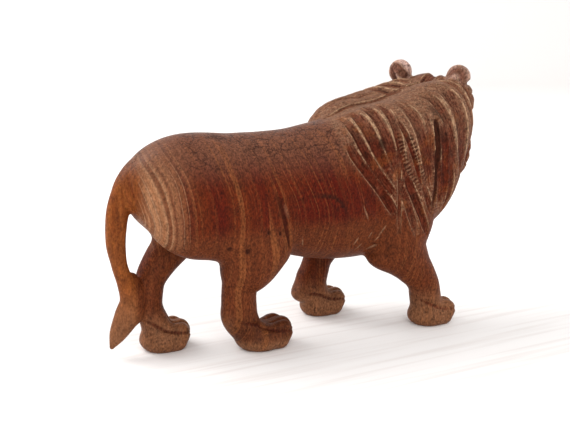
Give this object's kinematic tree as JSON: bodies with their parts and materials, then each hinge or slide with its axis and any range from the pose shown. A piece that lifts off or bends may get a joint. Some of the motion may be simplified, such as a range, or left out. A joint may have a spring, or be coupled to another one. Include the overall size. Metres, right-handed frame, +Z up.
{
  "type": "carved lion figurine",
  "caption": "Solid carved wooden lion, striding with its head turned to its left, mane cut in gouged locks, tail hanging to join a hind shank, paws flat underneath.",
  "frame": {"origin": "middle of the bounding box's underside, on the plane the paws stand on", "axes": "+X from tail to head, the lion's longest way; +Y to the lion's left, its shortest way; +Z up"},
  "size_m": [0.2097, 0.0637, 0.1303],
  "materials": {
    "carved_wood": "reddish brown hardwood, hand carved, rubbed smooth and lightly polished on the body, left with dusty gouge cuts in the mane"
  },
  "bodies": {
    "root": {"carved_lion": "carved_wood"}
  },
  "joints": []
}
